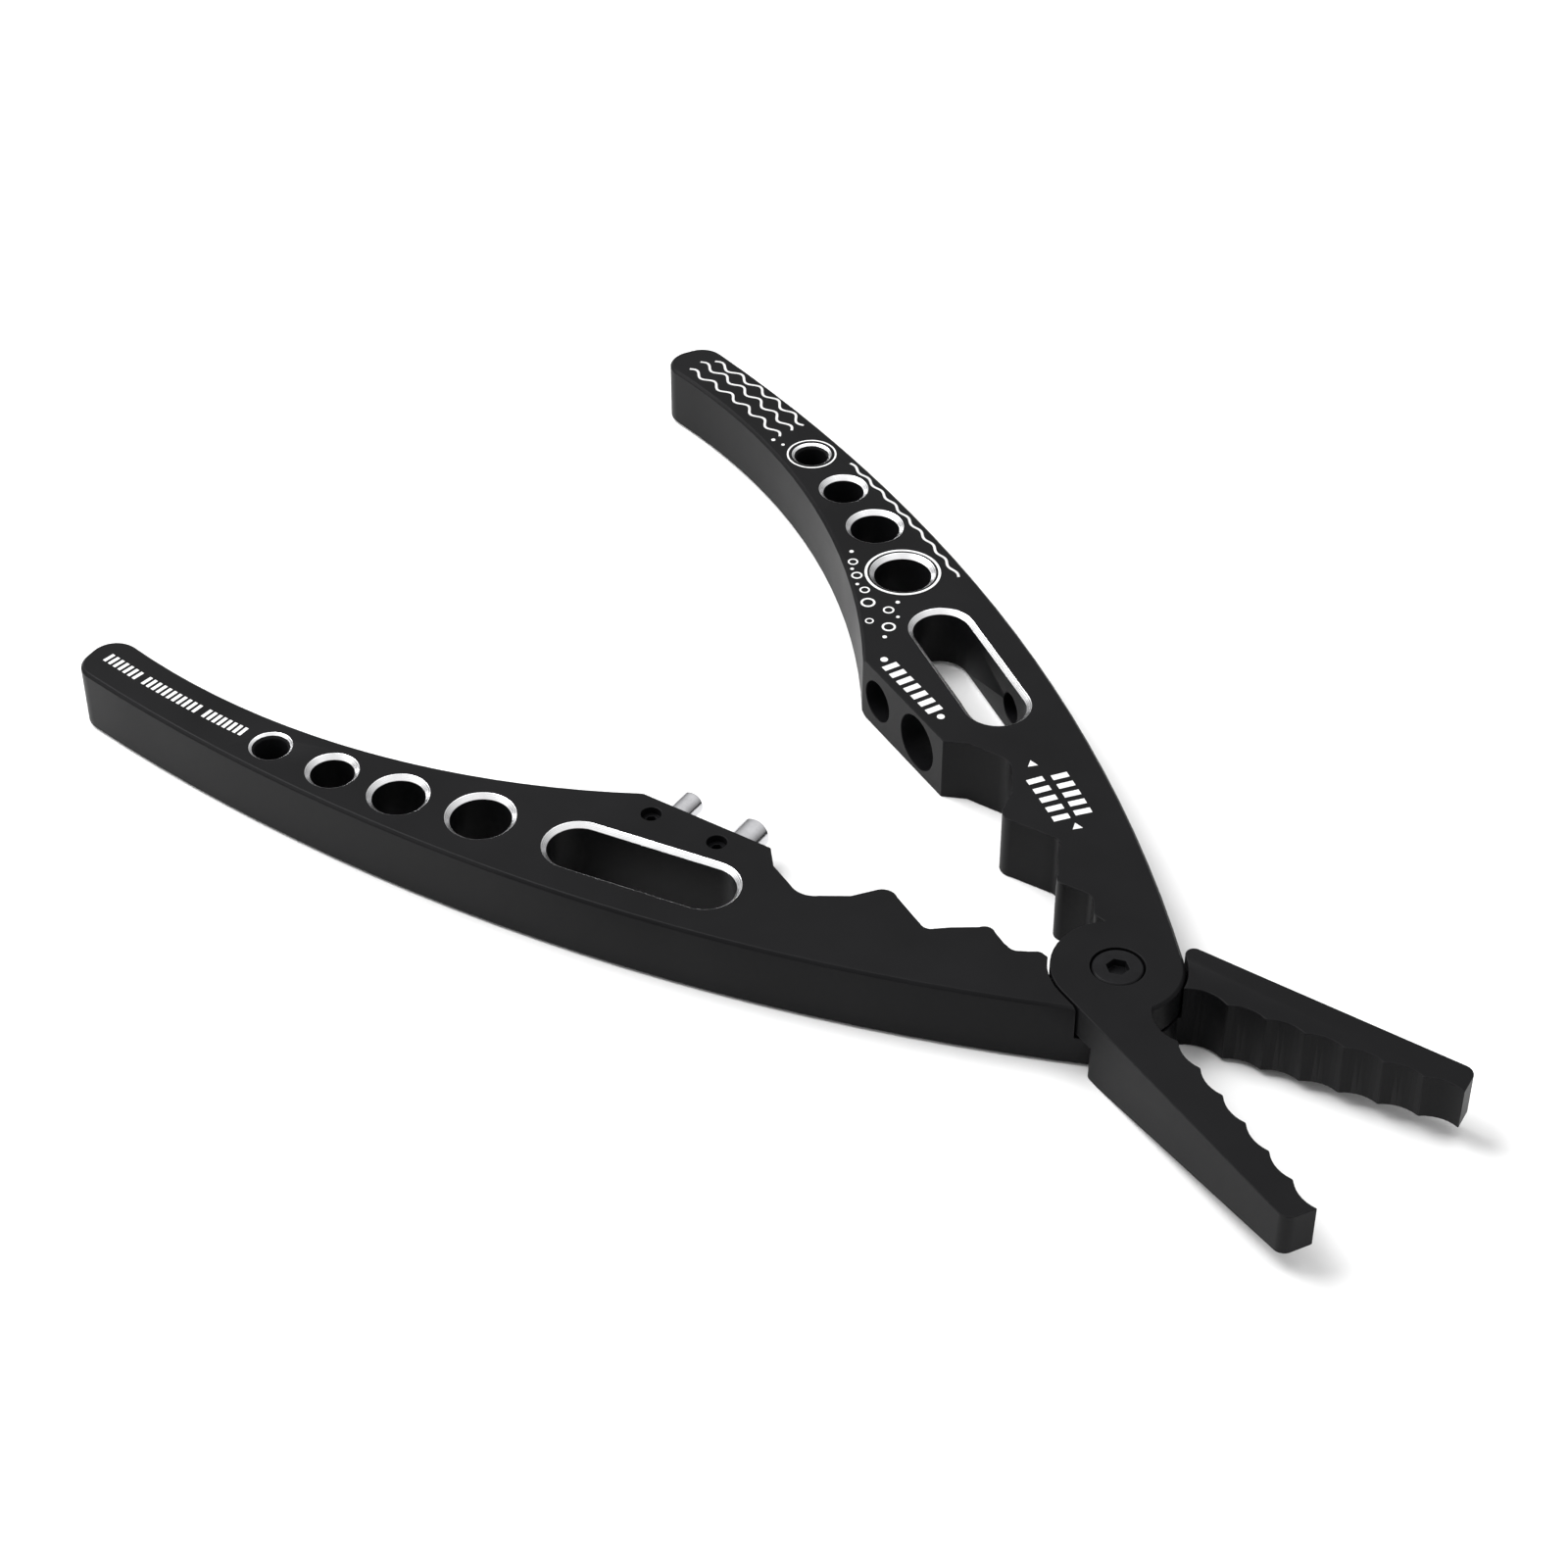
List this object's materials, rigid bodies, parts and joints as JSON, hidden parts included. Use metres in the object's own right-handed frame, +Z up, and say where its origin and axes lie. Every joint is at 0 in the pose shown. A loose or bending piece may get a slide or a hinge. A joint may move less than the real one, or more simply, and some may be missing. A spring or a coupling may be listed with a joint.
{
  "type": "fishing pliers",
  "caption": "Slim two-lever pliers with scalloped jaws, clamp notches, push pins facing sockets, and pierced handles.",
  "frame": {"origin": "pivot axis, on the plane of the face that the pliers lie on", "axes": "+X from the pivot to the jaws along the middle line, +Y towards the socket arm's handle, +Z up out of the pivot screw's head"},
  "size_m": [0.1748, 0.1122, 0.0092],
  "materials": {
    "anodised_arm": "satin black anodised",
    "black_steel": "black oxide",
    "bright_steel": "bright ground steel",
    "plain_steel": "plain"
  },
  "bodies": {
    "lower_arm": {"pin_arm": "anodised_arm", "barrel_nut": "plain_steel", "pivot_screw": "black_steel", "thrust_washer": "plain_steel", "head_washer": "plain_steel", "small_push_pin": "bright_steel", "large_push_pin": "bright_steel", "small_pin_grub_screw": "black_steel", "large_pin_grub_screw": "black_steel"},
    "upper_arm": {"socket_arm": "anodised_arm"}
  },
  "joints": [
    {"name": "pivot", "type": "hinge", "parent": "lower_arm", "child": "upper_arm", "pos_m": [0, 0, 0], "axis": [0, 0, 1], "range_deg": [0, 34.6]}
  ]
}
